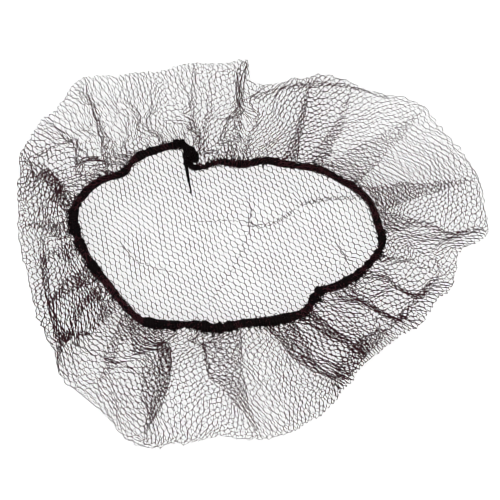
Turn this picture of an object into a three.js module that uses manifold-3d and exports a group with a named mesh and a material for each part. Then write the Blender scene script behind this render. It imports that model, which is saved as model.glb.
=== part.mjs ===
// A disposable bouffant hairnet that lies on a table with its opening up: a bag of coarse net, the
// elastic band at its gathered edge, and the knot and the free end of the elastic.
// Millimetres, +Z up. The origin is on the table, under the middle of the outline.

import * as THREE from 'three';
import { mergeVertices } from 'three/addons/utils/BufferGeometryUtils.js';
import Module from 'manifold-3d';

const DEGREE = Math.PI / 180;
const FULL_TURN = 2 * Math.PI;
const ORIGIN = new THREE.Vector2();
const UP = new THREE.Vector3(0, 1, 0);  // length direction of a cylinder or lathe as it is made

// Net
const WALL = 1;                        // thickness of the net's wall
const CELL_WIDTH = 23.5;               // from one upright strand to the next
const CELL_ROW = 26.5;                 // from one row of gaps to the next
const UPRIGHT_SHARE = 0.55;            // part of a row's height that an upright strand takes
const STRAND = 4;                      // width of the net between two gaps
const UPRIGHT_BEARING = 129 * DEGREE;  // direction of the upright strands on the crown
const HEM = 3;                         // width of the plain border along the gathered edge
const HEM_STEP = 7;                    // between points of the gathered edge, laid flat
const LEAST_GAP = 0.3;                 // share of a cell's gap that is still cut where the hem crosses
const RIM_STEPS = 4;                   // along a strand that turns round the outline
const TOP_STEPS = 2;                   // along a strand of the gathered layer
const STRAND_BOW = 0.3;                // how far a strand bends aside between its ends
const LOWER_END = new THREE.Vector2(1, 3);  // direction that tells a strand's lower end from its upper
const LATTICE_SPAN = 10;               // rows and columns of cells on each side of the middle

// Bag
const CENTRE = new THREE.Vector2(-11.25, 7);  // middle of the opening, seen from above
const RIM_RADIUS = 4.6;                // of the turn round the outline
const RIM_SWAY = 0.9;                  // how much that radius grows and shrinks round the outline
const RIM_PHASE = 0.7;                 // where round the outline that begins, in radians
const PUFF = 2.4;                      // how far the gathered layer rises between rim and band
const TOP_SLACK = 1.04;                // length of the gathered layer for each mm that it spans
const SLACK_OFFSETS = [-9, -6, -3, 0, 3, 6, 9];  // degrees over which that length is evened out
const PLEAT_PEAK = 0.22;               // where a pleat stands highest, from the band to the rim
const SLOPE_STEP = 0.2;                // distance on the flat net over which its slope is read

// Elastic
const BAND_RADIUS = 2.1;
const BAND_HEIGHT = 10.6;              // of the band's centre line
const BAND_SWAY = 0.9;                 // how much the band rises and falls round the opening
const BAND_PHASE = 0.6;                // where round the opening that begins, in radians
const BAND_SIDES = 8;
const BAND_STEPS = 90;
const CLEARANCE = 0.3;                 // between pieces that touch
const NET_CLEARANCE = 0.95;            // between the net's edge and the band
const BAND_START = 119.5 * DEGREE;     // bearing of the band's left end
const BAND_END = 470.5 * DEGREE;       // bearing of its right end, once round the opening
const KNOT_CENTRE = new THREE.Vector3(-32.25, 49.5, 10.8);
const KNOT_SIZE = new THREE.Vector3(11, 8, 6.4);
const KNOT_LEAN = -50 * DEGREE;        // of the knot's long side, seen from above
const KNOT_SEGMENTS = 10;              // round the knot's core and along each of its wraps
const KNOT_RINGS = 7;
const KNOT_WRAP = 1.5;                 // radius of the cord wrapped round the knot
const KNOT_WRAP_SIDES = 6;
const KNOT_WRAP_LEAN = 0.12;           // lean of each wrap for each mm that it lies off the middle
const KNOT_STUB = 4.5;                 // length of elastic between the knot's middle and the band
const TAIL_RADIUS = 0.75;
const TAIL_LENGTH = 16;
const TAIL_SIDES = 8;
const TAIL_TIP = new THREE.Vector3(-30.25, 30, 2.2);
const KNOT_BEARING = 115 * DEGREE;
const KNOT_RELIEF = 9;                 // how far the net's edge steps back round the knot
const KNOT_RELIEF_WIDTH = 7 * DEGREE;

const NET_COLOUR = 0x3a2f2f;
const NET_ROUGHNESS = 0.7;
const ELASTIC_COLOUR = 0x1d1817;
const ELASTIC_ROUGHNESS = 0.85;

const table = (columns, rows) =>
  rows.map((row) => Object.fromEntries(columns.map((column, index) => [column, row[index]])));

// Corners of the outline: bearing round the middle of the opening in degrees, reach in mm.
const OUTLINE = table(['bearing', 'reach'], [
  [3.8, 129.8],
  [13.2, 128.9],
  [21.5, 122],
  [34.6, 116.1],
  [40.5, 110],
  [52.4, 99.1],
  [61.3, 94.7],
  [70, 84.8],
  [82, 81.5],
  [87, 90],
  [102.4, 91],
  [116.4, 94.4],
  [133.5, 109.7],
  [142.6, 107.5],
  [148, 111.5],
  [159.6, 113.1],
  [167.1, 109.8],
  [180.3, 106],
  [194.4, 102.7],
  [209.4, 102.8],
  [220.7, 108.2],
  [239.6, 107.8],
  [246.8, 112.6],
  [267.4, 99.6],
  [284.2, 103],
  [297, 101.5],
  [313.9, 94.4],
  [330.7, 98.1],
  [337.5, 106],
  [349.8, 115.9],
]);

// Bends of the band's centre line, in the same way.
const BAND = table(['bearing', 'reach'], [
  [5.4, 74.9],
  [15.5, 73.2],
  [27, 65],
  [38, 57.7],
  [51.2, 48.7],
  [63.7, 44],
  [79.4, 38.2],
  [95.2, 38.7],
  [111.5, 40.3],
  [119, 53.5],
  [129.7, 57.9],
  [139.2, 62.1],
  [148.4, 64],
  [155.9, 72.3],
  [163.5, 77.7],
  [171.3, 79.2],
  [178.5, 76],
  [189.4, 70.5],
  [200.8, 64.7],
  [212.4, 62],
  [222.3, 60.2],
  [233.3, 53.6],
  [248.4, 46.3],
  [261.2, 45.6],
  [280.5, 43.8],
  [302.2, 47.9],
  [316.2, 52.7],
  [329.8, 52.7],
  [337.5, 60.1],
  [348, 69.6],
  [357.8, 76.5],
]);

// Pleats of the gathered layer: bearing at the rim, bearing at the band, half width and rise in mm.
const PLEATS = table(['rim', 'band', 'width', 'rise'], [
  [3, 10, 5, 3.5],
  [14, 32, 7, 4],
  [33, 42, 4, 3],
  [49, 49.5, 5, 3],
  [63, 63.5, 5, 4],
  [84, 86, 4, 3],
  [102, 103, 4, 3.5],
  [122, 125, 4, 2.5],
  [134, 137, 4, 3],
  [147, 148, 4, 2.5],
  [157, 163, 6, 4],
  [169, 176, 7, 4],
  [195, 190, 6, 3.5],
  [212, 207, 6, 4],
  [226, 224, 6, 2.5],
  [246, 243, 7, 4],
  [276, 262, 6, 3.5],
  [300, 292, 5, 3],
  [307, 299, 5, 3],
  [318, 311, 6, 4],
  [333, 331, 4, 3.5],
  [342, 350, 4, 3],
]);

// Taper of the free end: shares of its radius and of its length, from the knot to its tip.
const TAIL_PROFILE = table(['radius', 'along'], [
  [0, 0],
  [1, 0],
  [0.9, 0.5],
  [0.65, 0.95],
  [0, 1],
]);

// The value of one column at any bearing, on a smooth closed curve through the rows.
function ringValue(rows, bearingColumn, valueColumn, wrap, bearing) {
  const degrees = THREE.MathUtils.euclideanModulo(bearing / DEGREE, 360);
  const count = rows.length;
  const at = (index) => {
    const turns = Math.floor(index / count);
    const row = rows[index - turns * count];
    return { x: row[bearingColumn] + 360 * turns, y: row[valueColumn] + wrap * turns };
  };
  let next = rows.findIndex((row) => row[bearingColumn] > degrees);
  if (next < 0) next = count;
  const [before, low, high, after] = [next - 2, next - 1, next, next + 1].map(at);
  const span = high.x - low.x;
  const slopeLow = (high.y - before.y) / (high.x - before.x) * span;
  const slopeHigh = (after.y - low.y) / (after.x - low.x) * span;
  const t = (degrees - low.x) / span;
  const t2 = t * t;
  const t3 = t2 * t;
  return (2 * t3 - 3 * t2 + 1) * low.y + (t3 - 2 * t2 + t) * slopeLow
    + (3 * t2 - 2 * t3) * high.y + (t3 - t2) * slopeHigh;
}

const outlineReach = (bearing) => ringValue(OUTLINE, 'bearing', 'reach', 0, bearing) - WALL / 2;
const bandReach = (bearing) => ringValue(BAND, 'bearing', 'reach', 0, bearing);
const bandBearing = (bearing) => ringValue(PLEATS, 'rim', 'band', 360, bearing) * DEGREE;
const rimRadius = (bearing) => RIM_RADIUS + RIM_SWAY * Math.sin(3 * bearing + RIM_PHASE);
const bandHeight = (bearing) => BAND_HEIGHT + BAND_SWAY * Math.sin(2 * bearing + BAND_PHASE);

// Smallest turn from one bearing to another.
const turnBetween = (from, to) =>
  THREE.MathUtils.euclideanModulo(to - from + Math.PI, FULL_TURN) - Math.PI;

const bump = (distance, width) => Math.exp(-((distance / width) ** 2));

// Reach of the net's edge, which keeps the same distance from the band all round.
function hemReach(bearing) {
  const reach = bandReach(bearing);
  const change = bandReach(bearing + DEGREE) - bandReach(bearing - DEGREE);
  const slope = change / (2 * DEGREE);
  const slant = Math.hypot(1, slope / reach);
  const relief = KNOT_RELIEF * bump(turnBetween(KNOT_BEARING, bearing), KNOT_RELIEF_WIDTH);
  return reach + (BAND_RADIUS + NET_CLEARANCE) * slant + relief;
}

// Length of the gathered layer from rim to band, evened out over the bearings near by.
function topLength(bearing) {
  const spans = SLACK_OFFSETS.map((degrees) => {
    const near = bearing + degrees * DEGREE;
    return outlineReach(near) - rimRadius(near) - hemReach(bandBearing(near));
  });
  return TOP_SLACK * spans.reduce((sum, span) => sum + span, 0) / spans.length;
}

// Places along one meridian of the bag, as distances from the crown's middle on the flat net.
function meridian(bearing) {
  const radius = rimRadius(bearing);
  const crown = outlineReach(bearing) - radius;
  const turned = crown + Math.PI * radius;
  return { radius, crown, turned, edge: turned + topLength(bearing) };
}

// Height that the pleats add, at a share of the way from the rim to the band.
function pleatRise(bearing, reach, along) {
  const fromBand = (1 - along) / PLEAT_PEAK;
  const profile = fromBand * Math.exp(1 - fromBand);
  const rises = PLEATS.map(({ rim, width, rise }) =>
    rise * bump(turnBetween(rim * DEGREE, bearing) * reach, width));
  return profile * rises.reduce((sum, rise) => sum + rise, 0);
}

// The middle of the wall, for a point of the net laid flat round the crown's middle.
function wallPoint(x, y) {
  const flat = Math.hypot(x, y);
  const bearing = Math.atan2(y, x);
  const { radius, crown, turned, edge } = meridian(bearing);
  let heading = bearing;
  let reach = flat;
  let height = WALL / 2;
  if (flat > turned) {
    const along = (flat - turned) / (edge - turned);
    const gathered = bandBearing(bearing);
    heading = bearing + along * turnBetween(bearing, gathered);
    reach = THREE.MathUtils.lerp(crown, hemReach(gathered), along);
    const climb = THREE.MathUtils.smoothstep(along, 0, 1);
    height = THREE.MathUtils.lerp(height + 2 * radius, bandHeight(heading), climb);
    height += PUFF * Math.sin(Math.PI * along) + pleatRise(bearing, reach, along);
  } else if (flat > crown) {
    const turn = (flat - crown) / radius;
    reach = crown + radius * Math.sin(turn);
    height += radius * (1 - Math.cos(turn));
  }
  return new THREE.Vector3(
    CENTRE.x + reach * Math.cos(heading),
    CENTRE.y + reach * Math.sin(heading),
    height,
  );
}

// The wall's two skins at one point of the flat net: inside the bag and outside it.
function wallSkins(x, y) {
  const alongX = wallPoint(x + SLOPE_STEP, y).sub(wallPoint(x - SLOPE_STEP, y));
  const alongY = wallPoint(x, y + SLOPE_STEP).sub(wallPoint(x, y - SLOPE_STEP));
  const inward = alongX.cross(alongY).setLength(WALL / 2);
  const middle = wallPoint(x, y);
  return { inside: middle.clone().add(inward), outside: middle.clone().sub(inward) };
}

// Points of the flat net, each kept once, with the triangles between them.
class FlatNet {
  constructor() {
    this.points = [];
    this.index = new Map();
    this.triangles = [];
  }

  point({ x, y }) {
    const key = `${Math.round(x * 1000)},${Math.round(y * 1000)}`;
    if (!this.index.has(key)) {
      this.index.set(key, this.points.length);
      this.points.push(new THREE.Vector2(x, y));
    }
    return this.index.get(key);
  }

  triangle(a, b, c) {
    const first = this.points[b].clone().sub(this.points[a]);
    const second = this.points[c].clone().sub(this.points[a]);
    this.triangles.push(first.cross(second) > 0 ? [a, b, c] : [a, c, b]);
  }

  // Directed edges that have a triangle on one side only.
  openEdges() {
    const edges = new Map();
    for (const [a, b, c] of this.triangles) {
      for (const [from, to] of [[a, b], [b, c], [c, a]]) {
        edges.set(`${from},${to}`, [from, to]);
      }
    }
    return [...edges.values()].filter(([from, to]) => !edges.has(`${to},${from}`));
  }
}

// Middle and corners of one cell of the flat net, anticlockwise.
function cellCorners(column, row) {
  const up = new THREE.Vector2(Math.cos(UPRIGHT_BEARING), Math.sin(UPRIGHT_BEARING));
  const across = new THREE.Vector2(up.y, -up.x);
  const stagger = THREE.MathUtils.euclideanModulo(row, 2) / 2;
  const place = (origin, sideways, upward) =>
    origin.clone().addScaledVector(across, sideways).addScaledVector(up, upward);
  const middle = place(ORIGIN, (column + stagger) * CELL_WIDTH, row * CELL_ROW);
  const side = CELL_WIDTH / 2;
  const shoulder = CELL_ROW * UPRIGHT_SHARE / 2;
  const peak = CELL_ROW - shoulder;
  const corners = [
    place(middle, side, -shoulder),
    place(middle, side, shoulder),
    place(middle, 0, peak),
    place(middle, -side, shoulder),
    place(middle, -side, -shoulder),
    place(middle, 0, -peak),
  ];
  return { middle, corners };
}

// Steps that one strand is cut into: one on the flat crown, most round the rim.
function strandSteps(from, to) {
  const places = [from, from.clone().lerp(to, 0.5), to].map((point) => {
    const { crown, turned } = meridian(point.angle());
    if (point.length() < crown) return 'crown';
    return point.length() < turned ? 'rim' : 'top';
  });
  if (places.includes('rim')) return RIM_STEPS;
  return places.includes('top') ? TOP_STEPS : 1;
}

// Points along a strand from one corner up to the next, the same from either side of the strand:
// it bows to its left, taken from the end that lies lower across the crown.
function strandPoints(from, to) {
  const steps = strandSteps(from, to);
  const aside = to.clone().sub(from).rotateAround(ORIGIN, Math.PI / 2).setLength(STRAND_BOW);
  if (from.dot(LOWER_END) > to.dot(LOWER_END)) aside.negate();
  return Array.from({ length: steps }, (_, step) =>
    from.clone().lerp(to, step / steps).addScaledVector(aside, Math.sin(Math.PI * step / steps)));
}

// Where a strand crosses a limit on its distance from the crown's middle.
function crossing(inner, outer, limit) {
  const [low, high] = [inner.clone(), outer.clone()];
  for (let halving = 0; halving < 40; halving += 1) {
    const middle = low.clone().lerp(high, 0.5);
    (middle.length() < limit(middle.angle()) ? low : high).copy(middle);
  }
  return low;
}

// The part of a ring that lies within a limit, with points on the limit where the ring is cut.
function clippedRing(ring, limit) {
  const within = ring.map((point) => point.length() < limit(point.angle()));
  const start = within.indexOf(true);
  const kept = [];
  for (let step = 0; step < ring.length && start >= 0; step += 1) {
    const here = (start + step) % ring.length;
    const next = (here + 1) % ring.length;
    if (within[here]) kept.push(ring[here]);
    if (within[here] && !within[next]) kept.push(crossing(ring[here], ring[next], limit));
    if (!within[here] && within[next]) {
      const back = crossing(ring[next], ring[here], limit);
      kept.push(...alongLimit(kept.at(-1), back, limit), back);
    }
  }
  return kept;
}

// Points between two points of a limit.
function alongLimit(from, to, limit) {
  const turn = turnBetween(from.angle(), to.angle());
  const steps = Math.round(from.distanceTo(to) / HEM_STEP);
  return Array.from({ length: Math.max(steps - 1, 0) }, (_, step) => {
    const bearing = from.angle() + turn * (step + 1) / steps;
    return new THREE.Vector2(limit(bearing), 0).rotateAround(ORIGIN, bearing);
  });
}

// Net between a cell's outline and its gap, point for point.
function addRing(net, outer, gap) {
  outer.forEach((from, index) => {
    const next = (index + 1) % outer.length;
    net.triangle(from, outer[next], gap[next]);
    net.triangle(from, gap[next], gap[index]);
  });
}

// The net round one gap, cut off where it passes the gathered edge.
function addCell(net, { middle, corners }) {
  const ring = corners.flatMap((corner, index) =>
    strandPoints(corner, corners[(index + 1) % corners.length]));
  const gapRing = ring.map((point) => middle.clone().lerp(point, 1 - STRAND / CELL_WIDTH));
  const outer = clippedRing(ring, (bearing) => meridian(bearing).edge);
  const gap = clippedRing(gapRing, (bearing) => meridian(bearing).edge - HEM);
  if (outer.length < 3) return;
  const share = Math.abs(THREE.ShapeUtils.area(gap) / THREE.ShapeUtils.area(gapRing));
  const rings = share > LEAST_GAP ? [outer, gap] : [outer];
  const numbers = rings.map((points) => points.map((point) => net.point(point)));
  const uncut = outer.every((point) => ring.includes(point))
    && gap.every((point) => gapRing.includes(point));
  if (uncut) {
    addRing(net, ...numbers);
    return;
  }
  const faces = THREE.ShapeUtils.triangulateShape(outer, rings.slice(1));
  const flat = numbers.flat();
  faces.forEach(([a, b, c]) => net.triangle(flat[a], flat[b], flat[c]));
}

// The flat net, cell by cell.
function flatNet() {
  const net = new FlatNet();
  for (let row = -LATTICE_SPAN; row <= LATTICE_SPAN; row += 1) {
    for (let column = -LATTICE_SPAN; column <= LATTICE_SPAN; column += 1) {
      addCell(net, cellCorners(column, row));
    }
  }
  return net;
}

// The bag, as a wall with an inner and an outer skin joined round every gap and at the edge.
function netGeometry() {
  const net = flatNet();
  const positions = net.points.flatMap(({ x, y }) => {
    const { inside, outside } = wallSkins(x, y);
    return [...inside, ...outside];
  });
  const faces = net.triangles.flatMap(([a, b, c]) => [
    2 * a, 2 * b, 2 * c,
    2 * a + 1, 2 * c + 1, 2 * b + 1,
  ]);
  const sides = net.openEdges().flatMap(([a, b]) => [
    2 * b, 2 * a, 2 * a + 1,
    2 * b, 2 * a + 1, 2 * b + 1,
  ]);
  const geometry = new THREE.BufferGeometry();
  geometry.setAttribute('position', new THREE.Float32BufferAttribute(positions, 3));
  geometry.setIndex([...faces, ...sides]);
  geometry.computeVertexNormals();
  return geometry;
}

// Elastic
function bandPoint(bearing) {
  const reach = bandReach(bearing);
  return new THREE.Vector3(
    CENTRE.x + reach * Math.cos(bearing),
    CENTRE.y + reach * Math.sin(bearing),
    bandHeight(bearing),
  );
}

// The band's centre line, from the left side of the knot round to its right side.
function bandCurve() {
  const samples = 2 * BAND_STEPS;
  const points = Array.from({ length: samples + 1 }, (_, index) =>
    bandPoint(THREE.MathUtils.lerp(BAND_START, BAND_END, index / samples)));
  return new THREE.CatmullRomCurve3(points);
}

function roundSection(radius, sides) {
  const points = Array.from({ length: sides }, (_, index) => {
    const angle = FULL_TURN * index / sides;
    return new THREE.Vector2(radius * Math.cos(angle), radius * Math.sin(angle));
  });
  return new THREE.Shape(points);
}

function bandGeometry() {
  return new THREE.ExtrudeGeometry(roundSection(BAND_RADIUS, BAND_SIDES), {
    steps: BAND_STEPS,
    bevelEnabled: false,
    extrudePath: bandCurve(),
  });
}

const wasm = await Module();
wasm.setup();

function solid(geometry) {
  const bare = geometry.clone();
  bare.deleteAttribute('normal');
  bare.deleteAttribute('uv');
  const merged = mergeVertices(bare, 1e-4);
  return new wasm.Manifold(new wasm.Mesh({
    numProp: 3,
    vertProperties: merged.attributes.position.array,
    triVerts: new Uint32Array(merged.index.array),
  }));
}

function geometryOf(body) {
  const { vertProperties, triVerts } = body.getMesh();
  const geometry = new THREE.BufferGeometry();
  geometry.setAttribute('position', new THREE.BufferAttribute(vertProperties, 3));
  geometry.setIndex(new THREE.BufferAttribute(triVerts, 1));
  geometry.computeVertexNormals();
  return geometry;
}

// A short length of elastic that leaves the knot in line with one end of the band.
function knotStub(end, direction) {
  const stub = new THREE.CylinderGeometry(BAND_RADIUS, BAND_RADIUS, KNOT_STUB, BAND_SIDES);
  stub.translate(0, KNOT_STUB / 2 + CLEARANCE, 0);
  stub.applyQuaternion(new THREE.Quaternion().setFromUnitVectors(UP, direction));
  return stub.translate(end.x, end.y, end.z);
}

// The knot: a squashed core, two wraps across it, and the ends of elastic that run into it.
function knotGeometry() {
  const curve = bandCurve();
  const core = new THREE.SphereGeometry(1, KNOT_SEGMENTS, KNOT_RINGS);
  core.scale(KNOT_SIZE.x / 2, KNOT_SIZE.y / 2, KNOT_SIZE.z / 2);
  const wrap = new THREE.TorusGeometry(KNOT_SIZE.z / 2, KNOT_WRAP, KNOT_WRAP_SIDES, KNOT_SEGMENTS + 1);
  const wraps = [-KNOT_WRAP, KNOT_WRAP].map((shift) =>
    wrap.clone().rotateY(Math.PI / 2 + shift * KNOT_WRAP_LEAN).translate(shift, 0, 0));
  const lump = [core, ...wraps].map((piece) =>
    piece.rotateZ(KNOT_LEAN).translate(KNOT_CENTRE.x, KNOT_CENTRE.y, KNOT_CENTRE.z));
  const stubs = [
    knotStub(curve.getPoint(0), curve.getTangent(0).negate()),
    knotStub(curve.getPoint(1), curve.getTangent(1)),
  ];
  return geometryOf([...lump, ...stubs].map(solid).reduce((whole, piece) => whole.add(piece)));
}

// The free end: a tapered round cord along +Y from its root.
function tailGeometry() {
  const points = TAIL_PROFILE.map(({ radius, along }) =>
    new THREE.Vector2(TAIL_RADIUS * radius, TAIL_LENGTH * along));
  return new THREE.LatheGeometry(points, TAIL_SIDES);
}

function piece(name, geometry, colour, roughness) {
  const material = new THREE.MeshStandardMaterial({ color: colour, roughness, metalness: 0 });
  const mesh = new THREE.Mesh(geometry, material);
  mesh.name = name;
  return mesh;
}

const hairnet = new THREE.Group();
hairnet.add(piece('crown_net', netGeometry(), NET_COLOUR, NET_ROUGHNESS));
hairnet.add(piece('elastic_band', bandGeometry(), ELASTIC_COLOUR, ELASTIC_ROUGHNESS));
hairnet.add(piece('elastic_knot', knotGeometry(), ELASTIC_COLOUR, ELASTIC_ROUGHNESS));

const tail = piece('elastic_tail', tailGeometry(), ELASTIC_COLOUR, ELASTIC_ROUGHNESS);
const tailDirection = TAIL_TIP.clone().sub(KNOT_CENTRE).normalize();
tail.position.copy(TAIL_TIP).addScaledVector(tailDirection, -TAIL_LENGTH);
tail.quaternion.setFromUnitVectors(UP, tailDirection);
hairnet.add(tail);

export default hairnet;
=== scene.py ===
"""A disposable hairnet that lies on a table with its opening up.

A bag of fine knitted net, the covered elastic at its gathered edge, the knot in the elastic and
its free end. The net is made strand by strand on a flat lattice of hexagon cells, and bent into
the bag that lies on the table. Shapes are worked out in millimetres.
"""

import math
from collections import namedtuple

import bpy
import numpy as np
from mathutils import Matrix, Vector


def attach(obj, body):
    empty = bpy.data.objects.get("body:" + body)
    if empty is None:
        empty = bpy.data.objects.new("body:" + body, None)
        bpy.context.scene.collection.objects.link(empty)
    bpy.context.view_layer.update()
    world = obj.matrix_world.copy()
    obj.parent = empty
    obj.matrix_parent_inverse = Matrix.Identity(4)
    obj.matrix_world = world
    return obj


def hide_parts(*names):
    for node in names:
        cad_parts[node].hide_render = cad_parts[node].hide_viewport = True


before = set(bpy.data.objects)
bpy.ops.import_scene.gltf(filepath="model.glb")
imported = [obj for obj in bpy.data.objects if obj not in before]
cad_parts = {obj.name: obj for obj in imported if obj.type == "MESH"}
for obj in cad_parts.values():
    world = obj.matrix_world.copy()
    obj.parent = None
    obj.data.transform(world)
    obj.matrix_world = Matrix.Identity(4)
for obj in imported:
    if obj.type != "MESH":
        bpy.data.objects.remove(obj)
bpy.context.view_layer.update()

bl_info = {
    "name": "Hairnet",
    "version": (1, 0, 0),
    "blender": (4, 5, 0),
    "location": "3D View > Sidebar > Hairnet",
    "description": "A bouffant hairnet of fine knitted net on a covered elastic band",
    "category": "Add Mesh",
}

MM = 0.001  # metres in a millimetre
FULL_TURN = 2 * math.pi

Bend = namedtuple("Bend", "bearing reach")
Swell = namedtuple("Swell", "bearing share")
Pleat = namedtuple("Pleat", "rim band width rise")
Ease = namedtuple("Ease", "bearing length thread crowding")
Fold = namedtuple("Fold", "start middle end first_width last_width")
Pinch = namedtuple("Pinch", "centre radius gain")
Wave = namedtuple("Wave", "length height seed")
Cord = namedtuple("Cord", "x y z radius")
Winding = namedtuple("Winding", "pitch phase seed")
Loops = namedtuple("Loops", "least_width most_width height most_height lean spread bunch share")
CordPart = namedtuple("CordPart", "line steps loops seed")
Place = namedtuple("Place", "x y z")
Lamp = namedtuple("Lamp", "name place")

# The bag, in millimetres and radians

CENTRE = np.array([-11.25, 7.0])  # middle of the opening, seen from above
WALL = 1.0  # room that the net takes up across its thickness
RIM_RADIUS = 4.6  # of the turn round the outline
RIM_SWAY = 0.9  # how much that radius grows and shrinks round the outline
RIM_PHASE = 0.7
RIM_FLATNESS = 0.5  # height of that turn for each millimetre of its radius
RIM_DEPTH = 0.7  # depth of that turn for each millimetre of its radius
RIM_POINT = 1.25  # how sharp the edge of the turn is, from 1
RIM_RAG = 5  # mm from the crown to the middle of the ragged stretch
RIM_RAG_REACH = 8  # and from there to where it fades
OVER_STEEPNESS = 1.4  # how fast the turn round the outline becomes the gathered layer
OVER_DELAY = 0.3  # and how late
PUFF = 2.4  # how far the gathered layer rises between rim and band
TOP_SLACK = 1.04  # length of the gathered layer for each millimetre that it spans
SLACK_REACH = 9  # degrees over which that length is evened out, to each side
SLACK_STEP = 3
PLEAT_PEAK = 0.22  # where a pleat stands highest, from the band to the rim
BAND_RADIUS = 2.1
BAND_HEIGHT = 10.6  # of the band's centre line
BAND_SWAY = 0.9  # how much the band rises and falls round the opening
BAND_PHASE = 0.6
NET_CLEARANCE = 0.95  # between the net's gathered edge and the band
BAND_START = math.radians(119.5)  # bearing of the band's left end
BAND_END = math.radians(455.5)  # bearing where its right end thins out towards the knot
BEARING_STEP = math.radians(0.5)  # over which the band's slant is read
KNOT_BEARING = math.radians(115)
KNOT_RELIEF = 9.0  # how far the net's edge steps back round the knot
KNOT_RELIEF_WIDTH = math.radians(7)

# Corners of the outline: bearing round the middle of the opening in degrees, reach in mm.
OUTLINE = [
    Bend(0.5, 127.8),
    Bend(2.5, 130),
    Bend(6, 129.4),
    Bend(12, 129.3),
    Bend(16, 127.6),
    Bend(20, 124.6),
    Bend(25, 121.6),
    Bend(30, 119),
    Bend(34.5, 118.2),
    Bend(37.5, 114.4),
    Bend(40, 111.9),
    Bend(42.5, 107.8),
    Bend(45.5, 103.8),
    Bend(49, 101.2),
    Bend(54, 99.7),
    Bend(58, 97.1),
    Bend(61, 95.3),
    Bend(63.2, 92.4),
    Bend(65, 89.6),
    Bend(68.5, 87.4),
    Bend(71.5, 83),
    Bend(76, 80.9),
    Bend(81.2, 80.4),
    Bend(83.6, 89.8),
    Bend(88, 90),
    Bend(93, 88.6),
    Bend(99, 88.8),
    Bend(102, 90.6),
    Bend(109, 91),
    Bend(115, 92.4),
    Bend(119, 95.8),
    Bend(124, 98.6),
    Bend(127, 102.8),
    Bend(131, 108.2),
    Bend(134, 110),
    Bend(139, 108.8),
    Bend(143, 108),
    Bend(146.5, 110.9),
    Bend(152, 112.2),
    Bend(158, 113.4),
    Bend(162, 111),
    Bend(168, 108.6),
    Bend(174, 106.9),
    Bend(180, 105.5),
    Bend(186, 104),
    Bend(193, 102.8),
    Bend(200, 104),
    Bend(209, 104.7),
    Bend(215, 106.2),
    Bend(219.5, 108.8),
    Bend(226, 107.7),
    Bend(236, 108.2),
    Bend(240, 110.8),
    Bend(245, 113.4),
    Bend(249.5, 111.4),
    Bend(254, 107.2),
    Bend(259, 104.4),
    Bend(266, 99.4),
    Bend(273, 100.6),
    Bend(281, 102),
    Bend(289, 101.9),
    Bend(294, 100.3),
    Bend(303, 98.6),
    Bend(306, 96.5),
    Bend(311, 95.5),
    Bend(315, 93.4),
    Bend(320, 94.4),
    Bend(326, 96.9),
    Bend(331, 100),
    Bend(335, 104.8),
    Bend(341, 107.9),
    Bend(344.5, 110.4),
    Bend(347.5, 114.6),
    Bend(352, 115.1),
    Bend(357, 116.4),
    Bend(359, 124.6),
]

# Bends of the band's centre line, in the same way.
BAND = [
    Bend(5.4, 74.5),
    Bend(15.5, 71.8),
    Bend(27, 63.5),
    Bend(38, 56.1),
    Bend(51.2, 47.4),
    Bend(63.7, 43.5),
    Bend(79.4, 37.7),
    Bend(95.2, 38.2),
    Bend(111.5, 39.8),
    Bend(119, 52.1),
    Bend(129.7, 57.4),
    Bend(139.2, 61.2),
    Bend(148.4, 62.3),
    Bend(155.9, 70.4),
    Bend(163.5, 75.8),
    Bend(171.3, 78.3),
    Bend(178.5, 75.5),
    Bend(189.4, 70),
    Bend(200.8, 64.2),
    Bend(212.4, 61.5),
    Bend(222.3, 59.7),
    Bend(233.3, 53.1),
    Bend(248.4, 45.8),
    Bend(261.2, 44.9),
    Bend(280.5, 42.6),
    Bend(302.2, 47.4),
    Bend(316.2, 52.2),
    Bend(329.8, 52.2),
    Bend(337.5, 59.6),
    Bend(348, 69.1),
    Bend(357.8, 76),
]

# How thick the band is for each part of its usual thickness, by bearing.
SWELLS = [
    Swell(0, 1.2),
    Swell(22, 0.88),
    Swell(50, 1),
    Swell(66, 1.25),
    Swell(85, 1),
    Swell(100, 0.82),
    Swell(130, 1.15),
    Swell(152, 1.05),
    Swell(165, 1.35),
    Swell(176, 1.55),
    Swell(198, 1.3),
    Swell(212, 1),
    Swell(222, 1.1),
    Swell(232, 1.5),
    Swell(245, 1.25),
    Swell(256, 1.6),
    Swell(275, 1.35),
    Swell(289, 1.2),
    Swell(300, 1.8),
    Swell(312, 1.1),
    Swell(325, 1.65),
    Swell(340, 1.4),
    Swell(352, 1.2),
]

# Pleats of the gathered layer: bearings at the rim and at the band in degrees, half width and
# rise in mm.
PLEATS = [
    Pleat(1.6, 8.1, 5, 3.5),
    Pleat(13.8, 17.1, 7, 4),
    Pleat(33.5, 29.4, 4, 3),
    Pleat(50.5, 38.8, 5, 3),
    Pleat(62.2, 53.9, 5, 4),
    Pleat(78.3, 75.1, 4, 2.5),
    Pleat(85.2, 86.4, 4, 3),
    Pleat(91, 90, 4, 2),
    Pleat(98, 98.9, 4, 3),
    Pleat(106.9, 112.1, 4, 2),
    Pleat(115.7, 124.8, 4, 2.5),
    Pleat(126.7, 138.2, 4, 2),
    Pleat(131.8, 144.4, 4, 3),
    Pleat(146.1, 154.3, 4, 2.5),
    Pleat(162.1, 168, 7, 4),
    Pleat(176.1, 176, 6, 3.5),
    Pleat(187.4, 184.1, 6, 3),
    Pleat(200.8, 192.9, 6, 3.5),
    Pleat(211.3, 201.1, 6, 4),
    Pleat(220.2, 209.4, 5, 2.5),
    Pleat(230.1, 221, 5, 2.5),
    Pleat(246.8, 233.7, 7, 4),
    Pleat(278.3, 263.5, 6, 3.5),
    Pleat(306, 297.3, 5, 3),
    Pleat(320.3, 316.8, 5, 3),
    Pleat(335.1, 335.4, 6, 4),
    Pleat(344.8, 345.1, 4, 2.5),
    Pleat(351.1, 352.8, 4, 3),
]

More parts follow.
